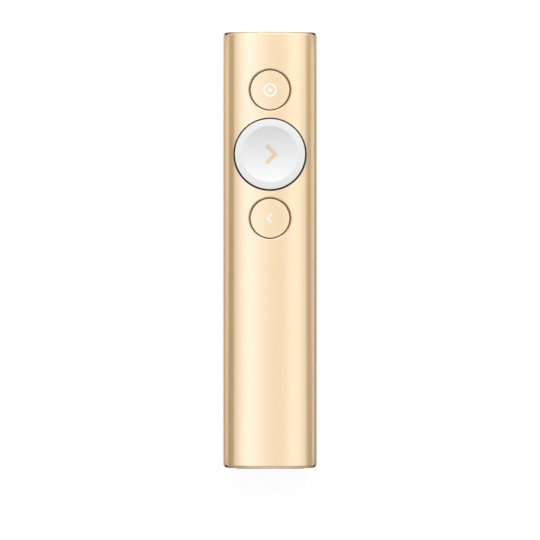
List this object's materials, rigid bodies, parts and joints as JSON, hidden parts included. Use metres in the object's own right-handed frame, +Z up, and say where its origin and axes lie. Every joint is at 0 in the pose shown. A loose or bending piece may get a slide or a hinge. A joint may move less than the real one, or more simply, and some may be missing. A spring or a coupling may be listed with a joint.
{
  "type": "wireless presentation clicker",
  "caption": "Slim handheld remote: a flattened aluminium tube with round press buttons on the front and a pull-out plug receiver in the tail.",
  "frame": {"origin": "on the resting surface, under the middle of the body's length and width, with the clicker lying on its back", "axes": "+Z up out of the buttons, +Y along the body to the nose, +X to the right when the buttons face the viewer and the nose is up"},
  "size_m": [0.028, 0.1314, 0.0121],
  "materials": {
    "anodised_gold": "satin bead-blasted champagne-gold anodising",
    "gold_paint": "satin metallic paint that matches the tube",
    "pearl_white": "smooth satin white moulding",
    "black_plastic": "fine-textured black moulding",
    "grey_plastic": "satin grey moulding",
    "clear_guide": "clear polished acrylic",
    "spring_steel": "bright spring steel",
    "screw_steel": "zinc-plated steel",
    "board_laminate": "green solder mask",
    "chip_black": "black moulding compound",
    "plated_steel": "nickel-plated sheet",
    "ceramic": "fired ceramic",
    "led_lens": "clear lens on a white base",
    "battery_foil": "crimped pouch foil",
    "foam": "closed-cell foam",
    "white_plastic": "white moulding",
    "lead_insulation": "soft red insulation",
    "rotor_metal": "sintered heavy alloy",
    "contact_gold": "gold-plated contacts"
  },
  "bodies": {
    "housing": {"body_tube": "anodised_gold", "nose_cap": "black_plastic", "light_pipe": "clear_guide", "receiver_bay": "black_plastic", "receiver_clip": "spring_steel", "chassis_tray": "black_plastic", "button_deck": "black_plastic", "deck_screws": "screw_steel", "main_board": "board_laminate", "radio_chip": "chip_black", "radio_shield": "plated_steel", "charger_chip": "chip_black", "motion_sensor": "chip_black", "crystal": "plated_steel", "capacitors": "ceramic", "chip_antenna": "ceramic", "status_led": "led_lens", "pointer_switch_case": "chip_black", "pointer_switch_dome": "spring_steel", "next_switch_case": "chip_black", "next_switch_dome": "spring_steel", "back_switch_case": "chip_black", "back_switch_dome": "spring_steel", "battery_cell": "battery_foil", "battery_pad": "foam", "battery_top_pad": "foam", "battery_connector": "white_plastic", "battery_leads": "lead_insulation", "motor_base": "plated_steel", "motor_case": "plated_steel", "charge_port_shell": "plated_steel", "charge_port_tongue": "chip_black", "charge_port_contacts": "contact_gold"},
    "pointer_button": {"pointer_cap": "gold_paint", "pointer_switch_plunger": "black_plastic"},
    "next_button": {"next_cap": "pearl_white", "next_carrier": "black_plastic", "next_switch_plunger": "black_plastic"},
    "back_button": {"back_cap": "gold_paint", "back_switch_plunger": "black_plastic"},
    "motor_weight": {"motor_rotor": "rotor_metal"},
    "receiver": {"receiver_grip": "grey_plastic", "receiver_shell": "plated_steel", "receiver_tongue": "white_plastic", "receiver_contacts": "contact_gold"}
  },
  "joints": [
    {"name": "pointer_press", "type": "slide", "parent": "housing", "child": "pointer_button", "axis": [0, 0, -1], "range_m": [0, 0.0004], "stiffness_N_per_m": 400, "springref_m": -0.002, "deforming": ["pointer_switch_dome"]},
    {"name": "next_press", "type": "slide", "parent": "housing", "child": "next_button", "axis": [0, 0, -1], "range_m": [0, 0.0005], "stiffness_N_per_m": 500, "springref_m": -0.002, "deforming": ["next_switch_dome"]},
    {"name": "back_press", "type": "slide", "parent": "housing", "child": "back_button", "axis": [0, 0, -1], "range_m": [0, 0.0004], "stiffness_N_per_m": 400, "springref_m": -0.002, "deforming": ["back_switch_dome"]},
    {"name": "motor_spin", "type": "hinge", "parent": "housing", "child": "motor_weight", "pos_m": [0, -0.00835, 0.006], "axis": [0, 0, 1], "continuous": true},
    {"name": "receiver_slide", "type": "slide", "parent": "housing", "child": "receiver", "axis": [0, -1, 0], "range_m": [0, 0.02]}
  ]
}
